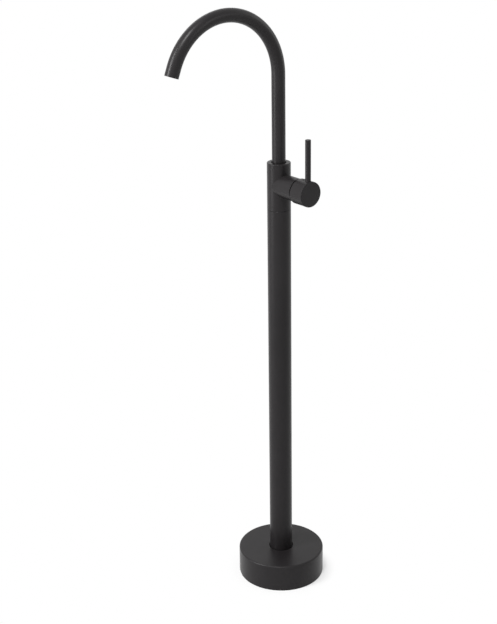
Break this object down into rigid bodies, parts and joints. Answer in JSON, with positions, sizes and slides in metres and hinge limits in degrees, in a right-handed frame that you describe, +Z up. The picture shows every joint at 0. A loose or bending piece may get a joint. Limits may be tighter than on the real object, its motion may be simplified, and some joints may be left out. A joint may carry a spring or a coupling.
{
  "type": "floor-standing basin mixer",
  "caption": "Floor-standing single-lever basin mixer: drum base, slim column, mixer body with side joystick handle, swivelling gooseneck spout",
  "frame": {"origin": "On the floor, at the axis of the column", "axes": "+Z up along the column, +X out along the branch to the handle, -Y under the spout"},
  "size_m": [0.1645, 0.3144, 1.092],
  "materials": {
    "matte_black": "matte black powder coat on steel",
    "matte_black_brass": "matte black powder coat on brass",
    "steel": "turned and zinc-plated steel",
    "brass": "turned brass",
    "rubber": "black EPDM rubber",
    "ceramic": "lapped alumina ceramic",
    "white_plastic": "moulded acetal",
    "grey_plastic": "moulded acetal",
    "braided_hose": "rubber hose in a steel braid"
  },
  "bodies": {
    "stand": {"floor_flange": "steel", "socket_grub_screws": "steel", "base_cover": "matte_black", "cover_seal": "rubber", "base_gasket": "rubber", "column_tube": "matte_black", "column_nipple": "brass", "nipple_o_ring": "rubber", "mixer_body": "matte_black_brass", "hot_hose": "braided_hose", "cold_hose": "braided_hose", "hot_hose_nut": "brass", "cold_hose_nut": "brass", "hose_washers": "rubber", "hose_snap_rings": "steel", "cartridge_port_plate": "white_plastic", "port_seals": "rubber", "fixed_disc": "ceramic", "cartridge_housing": "white_plastic", "cartridge_ring_nut": "brass", "spout_slide_ring": "grey_plastic", "spout_lock_screw": "steel"},
    "spindle": {"cartridge_spindle": "grey_plastic", "stem_pin": "steel"},
    "valve_slide": {"moving_disc": "ceramic", "disc_carrier": "grey_plastic"},
    "handle": {"cartridge_stem": "brass", "handle_hub": "matte_black_brass", "hub_grub_screw": "steel", "lever_pin": "matte_black_brass"},
    "spout": {"spout_tube": "matte_black_brass", "spout_shank": "brass", "spout_o_rings": "rubber", "outlet_sleeve": "matte_black_brass", "aerator_washer": "rubber", "aerator": "grey_plastic"}
  },
  "joints": [
    {"name": "spout_swivel", "type": "hinge", "parent": "stand", "child": "spout", "pos_m": [0, 0, 0.83], "axis": [0, 0, 1], "continuous": true},
    {"name": "handle_turn", "type": "hinge", "parent": "stand", "child": "spindle", "pos_m": [0.0435, 0, 0.772], "axis": [1, 0, 0], "range_deg": [-45, 45]},
    {"name": "handle_tilt", "type": "hinge", "parent": "spindle", "child": "handle", "pos_m": [0.04352, 0, 0.772], "axis": [0, 1, 0], "range_deg": [0, 20]},
    {"name": "disc_travel", "type": "slide", "parent": "spindle", "child": "valve_slide", "axis": [0, 0, 1], "range_m": [0, 0.0045]}
  ],
  "couplings": [
    {"joint": "disc_travel", "follows": "handle_tilt", "m_per_rad": 0.01274}
  ]
}
